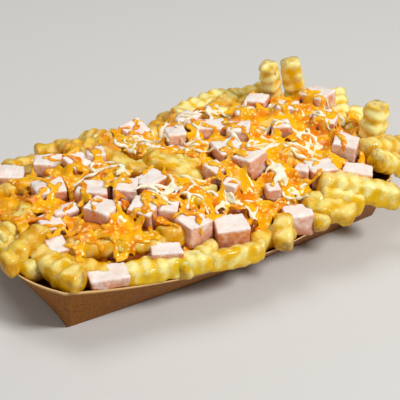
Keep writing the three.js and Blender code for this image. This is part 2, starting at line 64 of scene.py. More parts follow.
back = Vector((
    math.sin(VIEW_AZIMUTH) * math.cos(VIEW_ELEVATION),
    -math.cos(VIEW_AZIMUTH) * math.cos(VIEW_ELEVATION),
    math.sin(VIEW_ELEVATION),
))
sideways = Vector((math.cos(VIEW_AZIMUTH), math.sin(VIEW_AZIMUTH), 0))
upright = back.cross(sideways)
right = math.cos(VIEW_ROLL) * sideways + math.sin(VIEW_ROLL) * upright
up = math.cos(VIEW_ROLL) * upright - math.sin(VIEW_ROLL) * sideways
turned = Matrix((right, up, back)).transposed().to_4x4()
camera = add_object("camera", bpy.data.cameras.new("camera"))
camera.data.lens = LENS
camera.data.sensor_width = SENSOR
camera.matrix_world = Matrix.Translation((VIEW_TARGET + VIEW_DISTANCE * back) * MM) @ turned
scene.camera = camera
scene.view_settings.view_transform = "Standard"

# Tray
# A folded tray of brown kraft board: a flat base and four flared walls that bow outwards, with
# glued corners and a pale cut edge along the rim. The long rims dip in the middle.
BASE_HALF = (95.0, 49.0)
BASE_BOW = 2.2
RIM_HALF = (99.0, 56.5)
LONG_RIM_BOW = 13.0
SHORT_RIM_BOW = 16.0
SHORT_BOW_POWER = 3
CORNER_HEIGHT = 28.0
LONG_RIM_DIP = 8.5
BOARD = 0.8
EDGE_ROUND = 0.12
LONG_STEPS = 72
SHORT_STEPS = 44
WALL_STEPS = 14
BASE_STEPS = 16
BOARD_RIPPLE = 0.22
RIPPLE_SIZE = 34.0
RIPPLE_FROM = 1.5
RIPPLE_TO = 27.0
LUMP_WAVES = 8
LUMP_SUM = 3.2


def tone(red, green, blue):
    """Linear colour of a screen colour given from 0 to 255: the screen value to the power 2.2."""
    return tuple((value / 255) ** 2.2 for value in (red, green, blue)) + (1.0,)


def draw(k, series):
    """A repeatable number from 0 to 1: the fraction of a large multiple of a sine of k and series."""
    wave = np.sin(12.9898 * (k + 1) + 78.233 * (series + 1)) * 43758.5453
    return wave - np.floor(wave)


def lumps(points, size, seed):
    """Smooth unevenness of about -1 to 1: sine waves about size long that run in drawn directions,
    added up and divided by LUMP_SUM."""
    total = np.zeros(len(points))
    for wave in range(LUMP_WAVES):
        turn = 2 * math.pi * draw(seed, wave)
        rise = 2 * draw(seed, wave + 10) - 1
        flat = math.sqrt(1 - rise * rise)
        way = np.array((flat * math.cos(turn), flat * math.sin(turn), rise))
        stretch = 0.7 + 0.8 * draw(seed, wave + 20)
        start = 6.3 * draw(seed, wave + 30)
        total += np.sin(points @ way * (2 * math.pi * stretch / size) + start)
    return total / LUMP_SUM


def write_shades(mesh, shades):
    """Named point values kept in the mesh for its material to read."""
    for shade, values in shades.items():
        layer = mesh.attributes.new(shade, "FLOAT", "POINT")
        layer.data.foreach_set("value", np.asarray(values, np.float32))


def shade_smooth(mesh):
    """Smooth shading on every face."""
    mesh.polygons.foreach_set("use_smooth", np.ones(len(mesh.polygons), bool))
    mesh.update()


def make_piece(name, points, faces, shades, material, slot, *nodes):
    """A mesh object from points in millimetres, faces and named point values."""
    mesh = bpy.data.meshes.new(name)
    mesh.from_pydata(np.asarray(points) * MM, [], faces)
    write_shades(mesh, shades)
    shade_smooth(mesh)
    piece = add_object(name, mesh)
    mesh.materials.append(material)
    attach(piece, "root")
    if nodes:
        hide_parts(*nodes)
    return piece


def tube_faces(rows, around, start=0):
    """Quads of a tube of rows rings of around points each, wound so that they face outwards."""
    row, column = np.meshgrid(np.arange(rows - 1), np.arange(around), indexing="ij")
    here = row * around + column
    beside = row * around + (column + 1) % around
    quads = np.stack((here, beside, beside + around, here + around), -1).reshape(-1, 4)
    return quads + start


def capped_tube(rows, around, start=0):
    """Faces of a tube whose first and last rings are each closed by one flat face."""
    first = list(range(start, start + around))
    last = list(range(start + (rows - 1) * around, start + rows * around))
    return tube_faces(rows, around, start).tolist() + [first[::-1], last]


def set_inputs(tree, node, values):
    """Inputs of a node by name or number: a socket is linked, anything else is its value."""
    for key, value in values.items():
        if isinstance(value, bpy.types.NodeSocket):
            tree.links.new(value, node.inputs[key])
        else:
            node.inputs[key].default_value = value


def add_node(tree, kind, values=None, **settings):
    """A shader node with its settings and its inputs."""
    node = tree.nodes.new(kind)
    for key, value in settings.items():
        setattr(node, key, value)
    set_inputs(tree, node, values or {})
    return node


def calculate(tree, operation, first, second):
    """Socket of a sum, product or other plain operation on two values."""
    return add_node(tree, "ShaderNodeMath", {0: first, 1: second}, operation=operation).outputs[0]


def blend(tree, share, first, second, most=1.0):
    """Colour socket that goes from first to second as share goes from 0 to 1, no further than most."""
    if most < 1:
        share = calculate(tree, "MULTIPLY", share, most)
    node = add_node(tree, "ShaderNodeMix", {0: share, 6: first, 7: second}, data_type="RGBA")
    return node.outputs[2]


def step_up(tree, value, low, high):
    """Socket that rises smoothly from 0 to 1 while value goes from low to high."""
    limits = {0: value, 1: low, 2: high}
    return add_node(tree, "ShaderNodeMapRange", limits, interpolation_type="SMOOTHSTEP").outputs[0]


def around_zero(tree, noise, width):
    """Socket of a noise less its mean of one half, times width."""
    return calculate(tree, "MULTIPLY", calculate(tree, "SUBTRACT", noise, 0.5), width)


def read_shade(tree, shade):
    """Socket of a named point value of the piece."""
    return add_node(tree, "ShaderNodeAttribute", attribute_name=shade).outputs["Fac"]


def own_place(tree):
    """Socket of a point's place in the piece's own coordinates."""
    return tree.nodes.new("ShaderNodeTexCoord").outputs["Object"]


def relief(tree, depth, strength, coarse, fine=0.0, fine_share=1.0):
    """Normal socket of a relief depth millimetres high: a coarse pattern plus a share of a fine one."""
    height = calculate(tree, "ADD", coarse, calculate(tree, "MULTIPLY", fine, fine_share))
    values = {"Height": height, "Distance": depth * MM, "Strength": strength}
    return add_node(tree, "ShaderNodeBump", values).outputs["Normal"]


def new_material(name):
    """An empty node material: its node tree and its main shader."""
    material = bpy.data.materials.new(name)
    material.use_nodes = True
    return material, material.node_tree, material.node_tree.nodes["Principled BSDF"]


def build_mottle():
    """Group of two noises on the object's own coordinates: wide blotches and fine grain."""
    group = bpy.data.node_groups.new("mottle", "ShaderNodeTree")
    for name in ("Blotch", "Grain"):
        group.interface.new_socket(f"{name} Scale", in_out="INPUT", socket_type="NodeSocketFloat")
        group.interface.new_socket(name, in_out="OUTPUT", socket_type="NodeSocketFloat")
    given = group.nodes.new("NodeGroupInput")
    made = group.nodes.new("NodeGroupOutput")
    place = own_place(group)
    for name, detail in (("Blotch", 3.0), ("Grain", 4.0)):
        noise = add_node(group, "ShaderNodeTexNoise", {"Vector": place, "Detail": detail, "Roughness": 0.6})
        group.links.new(given.outputs[f"{name} Scale"], noise.inputs["Scale"])
        group.links.new(noise.outputs["Fac"], made.inputs[name])
    return group


mottle = build_mottle()


def add_mottle(tree, blotch_scale, grain_scale):
    """Blotch and grain sockets of the mottle group at this material's scales."""
    node = add_node(tree, "ShaderNodeGroup", node_tree=mottle)
    set_inputs(tree, node, {"Blotch Scale": blotch_scale, "Grain Scale": grain_scale})
    return node.outputs["Blotch"], node.outputs["Grain"]


KRAFT_LIGHT = tone(170, 108, 30)
KRAFT_DARK = tone(114, 64, 12)
KRAFT_OILY = tone(98, 56, 22)
KRAFT_EDGE = tone(232, 190, 128)

kraft, tree, shader = new_material("kraft_board")
blotch, grain = add_mottle(tree, 38.0, 420.0)
stretched = add_node(tree, "ShaderNodeMapping", {"Vector": own_place(tree), "Scale": (1.0, 1.0, 3.5)})
fibre = add_node(
    tree, "ShaderNodeTexNoise", {"Vector": stretched.outputs[0], "Scale": 900.0, "Detail": 5.0}
).outputs["Fac"]
colour = blend(tree, step_up(tree, fibre, 0.35, 0.68), KRAFT_DARK, KRAFT_LIGHT)
colour = blend(tree, step_up(tree, blotch, 0.45, 0.75), colour, KRAFT_OILY, 0.55)
colour = blend(tree, read_shade(tree, "cut_edge"), colour, KRAFT_EDGE)
rough = add_node(tree, "ShaderNodeMapRange", {0: blotch, 1: 0.4, 2: 0.7, 3: 0.72, 4: 0.45}).outputs[0]
set_inputs(tree, shader, {
    "Base Color": colour,
    "Roughness": rough,
    "Specular IOR Level": 0.3,
    "Normal": relief(tree, 0.12, 0.6, fibre, grain),
})


def wall_points(side, along, height, inset):
    """Points of a tray wall: the base line and the rim line, each a straight line plus its bow, blended
    by height. Side is 0 to 3 anticlockwise from the near wall, along is -1 to 1, inset moves them in."""
    bulge = 1 - along**2
    is_long = side % 2 == 0
    base_along, rim_along = (BASE_HALF[0], RIM_HALF[0]) if is_long else (BASE_HALF[1], RIM_HALF[1])
    base_out = BASE_HALF[1] + BASE_BOW * bulge if is_long else BASE_HALF[0] + 0 * along
    bow = LONG_RIM_BOW * bulge if is_long else SHORT_RIM_BOW * (1 - np.abs(along) ** SHORT_BOW_POWER)
    rim_out = (RIM_HALF[1] if is_long else RIM_HALF[0]) + bow
    run = along * (base_along + (rim_along - base_along) * height - inset)
    out = base_out + (rim_out - base_out) * height - inset
    rise = height * (CORNER_HEIGHT - (LONG_RIM_DIP * bulge if is_long else 0))
    x, y = ((run, -out), (out, run), (-run, out), (-out, -run))[side]
    return np.stack((x, y, rise + 0 * x), -1)


def tray_ring(height, inset):
    """One closed ring round the tray at a share of its wall height."""
    sides = []
    for side in range(4):
        steps = LONG_STEPS if side % 2 == 0 else SHORT_STEPS
        sides.append(wall_points(side, -1 + 2 * np.arange(steps) / steps, height, inset))
    return np.concatenate(sides)


heights = np.linspace(0, 1, WALL_STEPS + 1)
outer = [tray_ring(height, 0.0) for height in heights]
rounded = tray_ring(1.0, BOARD / 2) + (0, 0, EDGE_ROUND)
inner = [tray_ring(height, BOARD) for height in heights[::-1]]
inner[-1][:, 2] = BOARD
shares = np.linspace(1, 0, BASE_STEPS + 1)[1:-1]
floor_rows = [inner[-1] * (share, share, 1) for share in shares]
under_rows = [outer[0] * (share, share, 1) for share in shares[::-1]]
rows = np.array(under_rows + outer + [rounded] + inner + floor_rows)
around = rows.shape[1]
points = rows.reshape(-1, 3)
wall = (points[:, 2] > RIPPLE_FROM) & (points[:, 2] < RIPPLE_TO)
outward = points / (np.linalg.norm(points[:, :2], axis=1, keepdims=True) + 1e-6)
ripple = BOARD_RIPPLE * wall * lumps(points * (1, 1, 0.6), RIPPLE_SIZE, 3)
points[:, :2] += ripple[:, None] * outward[:, :2]
edge_row = len(under_rows) + len(outer)
cut_edge = np.zeros(rows.shape[:2])
cut_edge[edge_row - 1 : edge_row + 2] = 1.0
faces = capped_tube(len(rows), around)
make_piece("tray_board", points, faces, {"cut_edge": cut_edge.ravel()}, kraft, "kraft_board", "tray")

# Heap of fries
# Crinkle-cut potato fries heaped above the rim. Each lies where the ones below it leave it, laid
# from the bottom up: the fillers first, then those that show, then the ham and the cheese.
HEAP_EDGE = 21.0
HEAP_RISE = 25.0
HEAP_HALF = (122.0, 68.0)
FULLNESS_X = (2.6, 8.0)
FULLNESS_Y = (3.0, 2.1)
EDGE_LAYER = 4.0
TOP_LAYER = 9.0
FRY_THICK = 11.0
FRY_LONG = 58.0
FRY_SINK = 1.5
FOOT_LINES = 0.2 * np.arange(-2, 3)[:, None]
CROWN_FALL = 0.25
LIE_SPREAD = 0.15
RIM_BITE = 0.5
RIM_SHARE = 1.05
OVERHANG = 1.02
WALL_CLEAR = 1.6
WALL_ROOM = 1.2
RIM_ROLL = 3.0
RIM_GAP = 0.3
FILLER_PROUD = -2.0
FILLER_PITCH = (21.0, 17.0)
FILLER_HALF = (108.0, 58.0)
FILLER_STRIDE = 16
FILLER_JITTER = 0.6
FILLER_CLEAR = 9.0
SHORTEST_FILLER = 18.0
FILLER_REACH = 0.85
CELL = 2.0
MAP_HALF = (150.0, 100.0)


def shown(x, y, yaw, long, thick, **more):
    """A fry that shows: its middle, yaw, length and thickness, and what else is set for it."""
    return {"at": (x, y), "yaw": yaw, "long": long, "thick": thick, **more}


# In the order they lie. Z is the height of the middle, pitch the slope of one that stands or leans.
FRIES = [
    shown(-62, 58, 6, 36, 10.5),
    shown(-10, 60, -12, 40, 11),
    shown(13, 53, 26, 34, 10.5),
    shown(79, 57, -14, 34, 11),
    shown(-84, 46, -16, 36, 10.5),
    shown(-84, 28, -24, 50, 11),
    shown(-104, 10, -82, 54, 11),
    shown(-40, 53, -28, 42, 11),
    shown(-97, -3, 28, 34, 11.5),
    shown(-107, -16, -78, 44, 11.5, tone=0.1),
    shown(-104, -24, 22, 30, 11),
    shown(-95, -39, -76, 38, 13, z=29, ridges=0.7),
    shown(-82, -45, -38, 30, 11.5, ridges=0.5),
    shown(-62, -40, -20, 50, 12, ridges=0.3),
    shown(-46, -61, -13, 48, 12, z=24, ridges=0.6, taper=0.3, tone=0),
    shown(-31, 14, -78, 40, 11.5, ridges=0.3, clean=True, taper=0.3),
    shown(-46, 8, -42, 30, 10, ridges=0.3),
    shown(-10, -8, -58, 34, 13, ridges=0.3, clean=True, taper=0.3),
    shown(-15, -25, -75, 30, 12, ridges=0.3, taper=0.3),
    shown(-69, -29, 118, 26, 10, ridges=0.3),
    shown(-31, -48, -8, 24, 10, ridges=0.3),
    shown(-22, 30, 24, 36, 11, ridges=0.3),
    shown(46, 55, 13, 44, 13, z=31, tone=0),
    shown(52, 36, 168, 38, 11),
    shown(78, 46, -38, 34, 11),
    shown(16, 38, -16, 36, 11),
    shown(110, 6, 62, 34, 12, z=35, pitch=12),
    shown(110, -10, 50, 32, 12, z=32, pitch=12),
    shown(110, -38, 5, 40, 12, z=30),
    shown(107, -50, -3, 34, 11.5, z=28),
    shown(60, -61, -29, 26, 11, z=26),
    shown(72, -61, -34, 46, 13, z=29.5, tone=0.1),
    shown(50, -64, -34, 30, 11.5),
    shown(44, -62, 70, 22, 10),
    shown(14, -62, 2, 26, 11.5, ridges=0.6),
    shown(20, -66, 58, 20, 10),
    shown(-12, -67, -10, 38, 10, ridges=0.6),
    shown(-30, -63, 12, 28, 10.5),
    shown(84, 38, 200, 46, 10.5, z=38, pitch=78),
    shown(100, 36, 165, 44, 12, z=38, pitch=76),
    shown(107, -28, 20, 42, 13.5, z=37, pitch=84),
]

# Middle and length of each ham die, which the fillers keep clear of
HAM_ROOM = np.array([
    (-83, 43, 20), (-63, 35, 16), (-52, 22, 12), (-41, 22, 11), (-74, 10, 17), (-75, -10, 14),
    (-85, -14, 11), (-89, -29, 11), (-60, -22, 15), (-57, -6, 16), (-43, -14, 13), (-29, -15, 17),
    (-42, -32, 15), (-31, -36, 12), (-24, -49, 15), (-44, -57, 16), (-75, -55, 20), (-5, 45, 15),
    (6, 18, 11), (26, 14, 17), (37, 3, 13), (52, 18, 12), (22, -10, 15), (27, -24, 16),
    (5, -23, 9), (60, -5, 11), (-6, -56, 18), (32, -61, 16), (99, 13, 16), (86, -11, 14),
    (84, -33, 14), (79, -51, 17), (59, -44, 16), (49, -41, 8), (76, 10, 13), (27, -45, 8),
    (7, -36, 8), (-34, -25, 8), (-103, 34, 14), (68, 30, 13), (24, 34, 14),
], float)


def heap_share(x, y):
    """Share of the heap's full rise over a point: the product of two rounded slopes along X and Y."""
    along_x = 1 - np.abs(x / HEAP_HALF[0]) ** np.where(x < 0, *FULLNESS_X)
    along_y = 1 - np.abs(y / HEAP_HALF[1]) ** np.where(y < 0, *FULLNESS_Y)
    return np.clip(along_x, 0, 1) * np.clip(along_y, 0, 1)


def heap_top(x, y):
    """Height of the heap's outline over a point."""
    return HEAP_EDGE + HEAP_RISE * heap_share(x, y)


def core_top(x, y):
    """Height of the buried fries: the outline less a layer of food that thins towards the rim."""
    share = heap_share(x, y)
    return heap_top(x, y) - (EDGE_LAYER + (TOP_LAYER - EDGE_LAYER) * share)


def wall_lines(x, y):
    """How far out the walls stand beside a point: the long base and rim, and the short rim."""
    along = np.clip(x / RIM_HALF[0], -1, 1)
    across = np.clip(y / RIM_HALF[1], -1, 1)
    long_base = BASE_HALF[1] + BASE_BOW * (1 - along**2)
    long_rim = RIM_HALF[1] + LONG_RIM_BOW * (1 - along**2)
    short_rim = RIM_HALF[0] + SHORT_RIM_BOW * (1 - np.abs(across) ** SHORT_BOW_POWER)
    return long_base, long_rim, short_rim


def wall_share(x, y):
    """Wall height share at which the tray is as far out as a point, below 0 over the base."""
    long_base, long_rim, short_rim = wall_lines(x, y)
    return np.maximum(
        (np.abs(y) - long_base) / (long_rim - long_base),
        (np.abs(x) - BASE_HALF[0]) / (short_rim - BASE_HALF[0]),
    )


def rim_height(x, y):
    """Height of the rim on the side of the tray that a point is nearest."""
    along = np.clip(x / RIM_HALF[0], -1, 1)
    is_long = np.abs(y) / RIM_HALF[1] > np.abs(x) / RIM_HALF[0]
    return CORNER_HEIGHT - np.where(is_long, LONG_RIM_DIP * (1 - along**2), 0)


def wall_face(x, y, z):
    """Height of the rim beside a point, and how far out the wall's outer face is at the point's own
    height, along X and along Y: from the base line to the rim line as the point rises to the rim."""
    long_base, long_rim, short_rim = wall_lines(x, y)
    rim = rim_height(x, y)
    share = np.clip(z / rim, 0, 1)
    out_x = BASE_HALF[0] + (short_rim - BASE_HALF[0]) * share
    out_y = long_base + (long_rim - long_base) * share
    return rim, out_x, out_y


def pull_inside(points, middle_height):
    """The points with those beyond the inner face of the wall moved in onto it, wherever the middle
    of the piece is lower than the rim there."""
    x, y, z = points.T
    rim, out_x, out_y = wall_face(x, y, z)
    widest_x = out_x - WALL_CLEAR
    widest_y = out_y - WALL_CLEAR
    low = middle_height < rim
    x = np.where(low, np.clip(x, -widest_x, widest_x), x)
    y = np.where(low, np.clip(y, -widest_y, widest_y), y)
    return np.stack((x, y, z), -1)


def lift_over_rim(points):
    """The points that stand in the wall or just outside it lifted onto the rim: in full up to the
    rim's line, and less and less over the next RIM_ROLL millimetres."""
    x, y, z = points.T
    _, long_rim, short_rim = wall_lines(x, y)
    rim, out_x, out_y = wall_face(x, y, z)
    in_wall = np.maximum(np.abs(x) - out_x, np.abs(y) - out_y) > -WALL_ROOM
    past_rim = np.maximum(np.abs(x) - short_rim, np.abs(y) - long_rim)
    lift = np.clip(1 - past_rim / RIM_ROLL, 0, 1) * np.clip(rim + RIM_GAP - z, 0, None)
    return np.stack((x, y, z + in_wall * lift), -1)


def cells(x, y, half=MAP_HALF, cell=CELL):
    """Row and column of a height map's cell at a point, or of its edge beyond the map."""
    places = ((y + half[1]) / cell, (x + half[0]) / cell)
    last = (2 * half[1] / cell, 2 * half[0] / cell)
    return tuple(np.clip(np.floor(places[axis] + 0.5), 0, last[axis]).astype(int) for axis in (0, 1))


def map_grid(half, cell):
    """X and Y of every cell of a height map that reaches half to either side."""
    return np.meshgrid(*(np.arange(-reach, reach + 1, cell) for reach in half))


map_x, map_y = map_grid(MAP_HALF, CELL)
share = wall_share(map_x, map_y)
inside = share < RIM_SHARE
tray_map = np.where(inside, np.maximum(BOARD, share * rim_height(map_x, map_y)) - RIM_BITE, 0)
heap_map = np.where(inside, np.maximum(tray_map, core_top(map_x, map_y)), 0)


def direction(yaw):
    """Cosine and sine of an angle in degrees."""
    return math.cos(math.radians(yaw)), math.sin(math.radians(yaw))


def resting_line(height_map, fry):
    """Height and slope of the line a straight fry rests on: of all lines over two points, one on each
    side of its middle, the one that passes highest, with its slope kept near the mound's own."""
    cos, sin = direction(fry["yaw"])
    steps = math.ceil(fry["long"] / CELL / 2)
    s = np.arange(-steps, steps + 1) * fry["long"] / 2 / steps
    t = FOOT_LINES * fry["thick"]
    x, y = fry["at"]
    high = np.maximum(height_map[cells(x + s * cos - t * sin, y + s * sin + t * cos)].max(0), 0)
    half = fry["long"] / 2
    mound_ahead = heap_top(x + half * cos, y + half * sin)
    mound_behind = heap_top(x - half * cos, y - half * sin)
    mound = (mound_ahead - mound_behind) / fry["long"]
    s0, s1 = s[s < 0][:, None], s[s > 0][None]
    h0, h1 = high[s < 0][:, None], high[s > 0][None]
    crossing = (h0 * s1 - h1 * s0) / (s1 - s0)
    best = np.unravel_index(np.argmax(crossing), crossing.shape)
    slope = ((h1 - h0) / (s1 - s0))[best]
    lie = float(np.clip(slope, mound - LIE_SPREAD, mound + LIE_SPREAD))
    return (crossing[best] if lie == slope else (high - lie * s).max()), lie


def lay_fry(fry):
    """The fry with its height and slope, no higher than the heap's outline allows; raises the map."""
    laid = dict(fry)
    x, y = fry["at"]
    long, thick = fry["long"], fry["thick"]
    if "pitch" in fry:
        laid["lie"] = math.tan(math.radians(fry["pitch"]))
        return laid
    on_heap, heap_lie = resting_line(heap_map, fry)
    on_tray, tray_lie = resting_line(tray_map, fry)
    wanted = heap_top(x, y) + fry.get("proud", 0) - thick
    if "z" in fry:
        wanted = fry["z"] - thick / 2
    under = max(min(on_heap - FRY_SINK, wanted), on_tray - FRY_SINK)
    laid["z"] = under + thick / 2
    laid["lie"] = tray_lie if under > wanted else heap_lie
    cos, sin = direction(fry["yaw"])
    s = np.arange(-long / 2, long / 2 + 1e-9, CELL / 2)[:, None]
    t = np.arange(-thick / 2, thick / 2 + 1e-9, CELL / 2)[None]
    crown = under + laid["lie"] * s + thick * (1 - CROWN_FALL * (2 * t / thick) ** 2)
    np.maximum.at(heap_map, cells(x + s * cos - t * sin, y + s * sin + t * cos), crown)
    return laid


def free_reach(x, y, yaw, reach, way):
    """How far a filler fry may run from its middle before the rim or a ham die stands in the way."""
    cos, sin = direction(yaw)
    along = np.arange(0, reach, CELL)
    px, py = x + way * along * cos, y + way * along * sin
    apart = np.hypot(HAM_ROOM[:, :1] - px, HAM_ROOM[:, 1:2] - py)
    free = (apart > (HAM_ROOM[:, 2:] + FRY_THICK) / 2).all(0) & (wall_share(px, py) < FILLER_REACH)
    return CELL * (len(along) if free.all() else int(np.argmin(free)))


def jittered(i, j, k, pitch, jitter):
    """Place of cell i, j of a grid, moved by a drawn part of its pitch."""
    x = (i + jitter * (draw(k, 1) - 0.5)) * pitch[0]
    y = (j + jitter * (draw(k, 2) - 0.5)) * pitch[1]
    return x, y


def filler_fries():
    """Fries on a jittered grid, wherever no shown fry is near, shortened at the rim and the ham."""
    found = []
    columns, rows_at = (round(FILLER_HALF[axis] / FILLER_PITCH[axis]) for axis in (0, 1))
    for i in range(-columns, columns + 1):
        for j in range(-rows_at, rows_at + 1):
            k = (i + columns) * FILLER_STRIDE + j + rows_at
            x, y = jittered(i, j, k, FILLER_PITCH, FILLER_JITTER)
            yaw = 180 * draw(k, 7)
            reach = FRY_LONG / 2 * (0.6 + 0.4 * draw(k, 5))
            ahead = free_reach(x, y, yaw, reach, 1)
            behind = free_reach(x, y, yaw, reach, -1)
            near = min(math.hypot(fry["at"][0] - x, fry["at"][1] - y) for fry in FRIES)
            if near >= FILLER_CLEAR and ahead + behind > SHORTEST_FILLER:
                cos, sin = direction(yaw)
                shift = (ahead - behind) / 2
                found.append({
                    "at": (x + shift * cos, y + shift * sin),
                    "yaw": yaw,
                    "long": ahead + behind,
                    "thick": FRY_THICK * (0.9 + 0.2 * draw(k, 6)),
                    "proud": FILLER_PROUD,
                })
    return found


SIDES = 32
RING_STEP = 0.95
FEWEST_RINGS = 8
END_ROUNDING = np.array((0.0, 0.1, 0.3, 0.65, 1.2))
END_CUT = 2.0
CAP_REACH = 2.2
CAP_ROUND = 0.75
END_REACH = 3
CRINKLE_PITCH = 7.5
CRINKLE_SLANT = 0.45
CRINKLE_WANDER = 0.06
CRINKLE_POWER = 0.8
CRINKLE_DEPTH = 0.2
CRINKLE_MIDDLE = 0.55
FLANK_DEPTH = 0.55
SECTION_POWER = 3.6
FRY_TAPER = 0.08
FRY_PLUMP = 1.02
FRY_TWIST = 36.0
FRY_BEND = 0.1
LYING_CUT = 0.9
STANDING_CUT = 0.3
# Height as a share of the radius, size, and series of a fry's lumps, from broad to fine
FRY_LUMPS = ((0.07, 17.0, 0), (0.035, 6.0, 7), (0.012, 2.4, 13))
LUMP_SHIFT = 40
STANDING_LUMPS = 0.5
# The PALE_ shares below make a fry paler on ridge crests, on faces turned up and on fries that stand:
# painted highlight, with PALE_LUMP as the fry's own uneven colour.
PALE_BASE = 0.15
PALE_STANDING = 0.4
PALE_LYING = 0.05
PALE_TOP = 0.3
PALE_RIDGE = 0.55
PALE_LUMP = 0.3
PALE_LUMP_SIZE = 9.0
GLAZE_REACH = (108.0, 58.0)
GLAZE_FALL = 2.5
GLAZE_END = 1.15
CLEAN_GLAZE = 0.25
TONE_FALL = 360.0


def layered_lumps(points, layers, k):
    """Lumps of several sizes added up. Each layer is a height, a size and a series of draws."""
    return sum(height * lumps(points, size, k + series) for height, size, series in layers)


def place_fry(fry, local, along_line):
    """A fry's points tipped by its slope, turned by its yaw and moved to its place, inside the wall
    unless an end hangs over the rim, and lifted onto the rim where they cross it."""
    x, y = fry["at"]
    cos, sin = direction(fry["yaw"])
    along = np.array((1, 0, fry["lie"])) / math.hypot(1, fry["lie"])
    across = np.array((0.0, 1.0, 0.0))
    tipped = local @ np.array((along, across, np.cross(along, across)))
    points = tipped @ np.array(((cos, sin, 0), (-sin, cos, 0), (0, 0, 1))) + (x, y, fry["z"])
    ends = np.array((-0.5, 0.5)) * fry["long"] * along[0]
    if wall_share(x + ends * cos, y + ends * sin).max() <= OVERHANG:
        points = pull_inside(points, fry["z"] + along_line * along[2])
    return lift_over_rim(points)


def glaze_share(fry, points):
    """Cheese glaze on each point: less towards the heap's edge, on the lower side and on clean fries."""
    from_middle = np.hypot(points[:, 0] / GLAZE_REACH[0], points[:, 1] / GLAZE_REACH[1])
    upper = np.clip((points[:, 2] - fry["z"]) / fry["thick"] * 2 + 0.5, 0, 1)
    most = 0 if "pitch" in fry else CLEAN_GLAZE if fry.get("clean") else 1
    return np.clip(GLAZE_FALL * (GLAZE_END - from_middle), 0, 1) * upper * most


def fry_mesh(fry, k, sides, ring_step):
    """Points and shades of a crinkle-cut fry: a rounded square section carried along a bowed line,
    two of its faces waved by slanted ridges of uneven depth, and both ends cut and rounded."""
    long = fry["long"]
    ridges = fry.get("ridges", 1)
    stands = "pitch" in fry
    body = np.linspace(END_CUT - long / 2, long / 2 - END_CUT, max(FEWEST_RINGS, round(long / ring_step)))
    s = np.concatenate((END_ROUNDING - long / 2, body, long / 2 - END_ROUNDING[::-1]))
    from_end = (long / 2 - np.abs(s)) / CAP_REACH
    quarter_circle = np.sqrt(np.clip(1 - np.clip(1 - from_end, 0, 1) ** 2, 0, 1))
    cap = CAP_ROUND * quarter_circle + (1 - CAP_ROUND) * np.clip(4 * from_end, 0, 1)
    near_end = np.clip(1 - from_end / END_REACH, 0, 1)
    angle = 2 * math.pi * np.arange(sides) / sides
    pitch = CRINKLE_PITCH * (0.9 + 0.2 * draw(k, 41))
    slant = CRINKLE_SLANT * (draw(k, 46) - 0.5) * np.cos(angle)
    wander = CRINKLE_WANDER * np.sin(s / 9 + k)[:, None]
    cycle = s[:, None] / pitch + draw(k, 42) + slant + wander
    ridge = (0.5 + 0.5 * np.cos(2 * math.pi * cycle)) ** CRINKLE_POWER
    depth = CRINKLE_DEPTH * (0.75 + 0.5 * draw(k, 43)) * ridges
    uneven_depth = 0.75 + 0.35 * np.sin(s / 6.5 + 3 * k)[:, None]
    flank = FLANK_DEPTH + (1 - FLANK_DEPTH) * np.sin(angle) ** 2
    swell = 1 + depth * uneven_depth * flank * (ridge - CRINKLE_MIDDLE)
    square = (np.abs((np.cos(angle), np.sin(angle))) ** SECTION_POWER).sum(0) ** (-1 / SECTION_POWER)
    taper = 1 - fry.get("taper", FRY_TAPER) * (np.abs(s) / (long / 2)) ** 3
    radius = fry["thick"] / 2 * FRY_PLUMP * (cap * taper)[:, None] * swell * square
    twist = (draw(k, 3) - 0.5) * math.radians(FRY_TWIST)
    flat = 0.92 + 0.16 * draw(k, 47)
    side = radius * np.cos(angle + twist) * flat
    lift = radius * np.sin(angle + twist) * (2 - flat)
    cut = (draw(k, 44) - 0.5) * (STANDING_CUT if stands else LYING_CUT) * near_end * np.sign(s)
    bow = (draw(k, 4) - 0.5) * FRY_BEND * long * (4 * (s / long) ** 2 - 0.5)
    local = np.stack((s[:, None] + cut[:, None] * side, side + bow[:, None], lift), -1).reshape(-1, 3)
    line = np.repeat(np.stack((s, bow, 0 * s), -1), sides, 0)
    uneven = layered_lumps(local + LUMP_SHIFT * k, FRY_LUMPS, k)[:, None]
    local = local + (local - line) * uneven * (STANDING_LUMPS if stands else 1)
    points = place_fry(fry, local, line[:, 0])
    # Painted highlight: the pale share grows on ridge crests, on faces turned up and on standing fries; its
    # lumps are the fry's own uneven colour.
    upward = np.tile(np.sin(angle + twist), len(s))
    ridged = (ridge * flank).ravel() * min(1, ridges + 0.2)
    painted_top_light = PALE_STANDING if stands else PALE_LYING + PALE_TOP * upward
    crest_highlight = PALE_BASE + painted_top_light + PALE_RIDGE * ridged + PALE_LUMP * lumps(local, PALE_LUMP_SIZE, k)
    drawn_tone = 0 if stands else np.clip(draw(k, 45) - fry["at"][0] / TONE_FALL, 0, 1)
    shades = {
        "crest_highlight": crest_highlight,
        "browned": np.repeat(near_end**1.5, sides),
        "glaze": glaze_share(fry, points),
        "tone": np.full(len(points), float(fry.get("tone", drawn_tone))),
    }
    return points, shades


def join_fries(fries, sides=SIDES, ring_step=RING_STEP, first=0):
    """All the fries as one set of points, closed tubes of faces, and shades."""
    points, faces, shades = [], [], []
    start = 0
    for k, fry in enumerate(fries):
        own_points, own_shades = fry_mesh(fry, k + first, sides, ring_step)
        faces += capped_tube(len(own_points) // sides, sides, start)
        start += len(own_points)
        points.append(own_points)
        shades.append(own_shades)
    joined = {name: np.concatenate([own[name] for own in shades]) for name in shades[0]}
    return np.concatenate(points), faces, joined


def strewn_dots(tree, place, scale, low, high):
    """Socket that is 1 within low of scattered points, and 0 further than high from them."""
    apart = add_node(tree, "ShaderNodeTexVoronoi", {"Vector": place, "Scale": scale}).outputs["Distance"]
    return calculate(tree, "SUBTRACT", 1.0, step_up(tree, apart, low, high))


